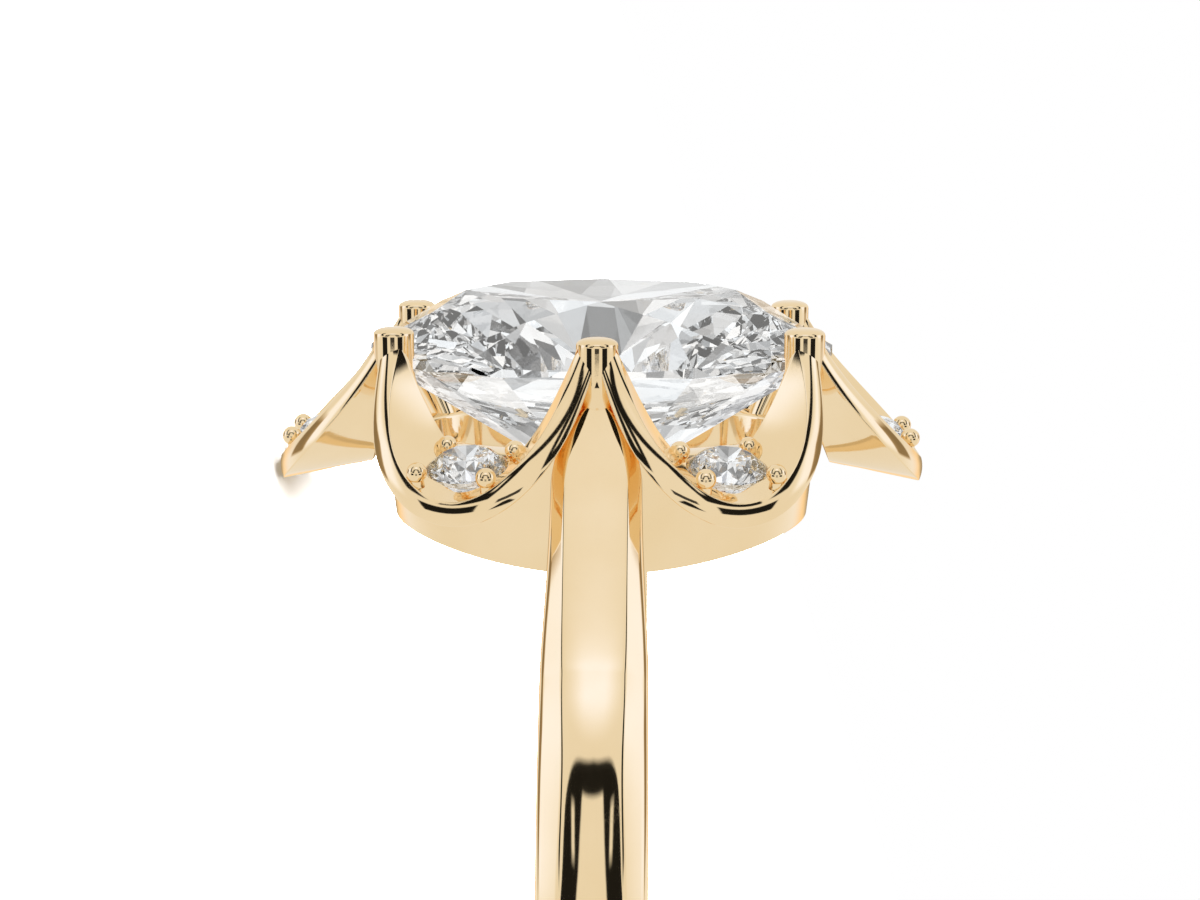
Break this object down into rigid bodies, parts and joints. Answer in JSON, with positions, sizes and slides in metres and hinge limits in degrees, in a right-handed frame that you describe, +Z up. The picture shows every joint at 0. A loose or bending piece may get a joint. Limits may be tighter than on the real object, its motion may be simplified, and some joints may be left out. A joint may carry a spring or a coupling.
{
  "type": "halo ring",
  "caption": "Gold finger ring with an oval stone in claw prongs, ringed by petal-shaped strips that each carry a small round stone, on a plain narrow shank.",
  "frame": {"origin": "centre of the finger hole, halfway through the shank's width", "axes": "+Z up from the surface that the ring lies on, +Y across the ring, -X towards the head; the finger hole's axis leans from +Z towards +X, in the plane Y = 0"},
  "size_m": [0.0234, 0.02, 0.0137],
  "materials": {
    "gold": "polished yellow gold",
    "diamond": "faceted, clear and polished"
  },
  "bodies": {
    "root": {"mounting": "gold", "center_stone": "diamond", "accent_stone_1": "diamond", "accent_stone_2": "diamond", "accent_stone_3": "diamond", "accent_stone_4": "diamond", "accent_stone_5": "diamond", "accent_stone_6": "diamond"}
  },
  "joints": []
}
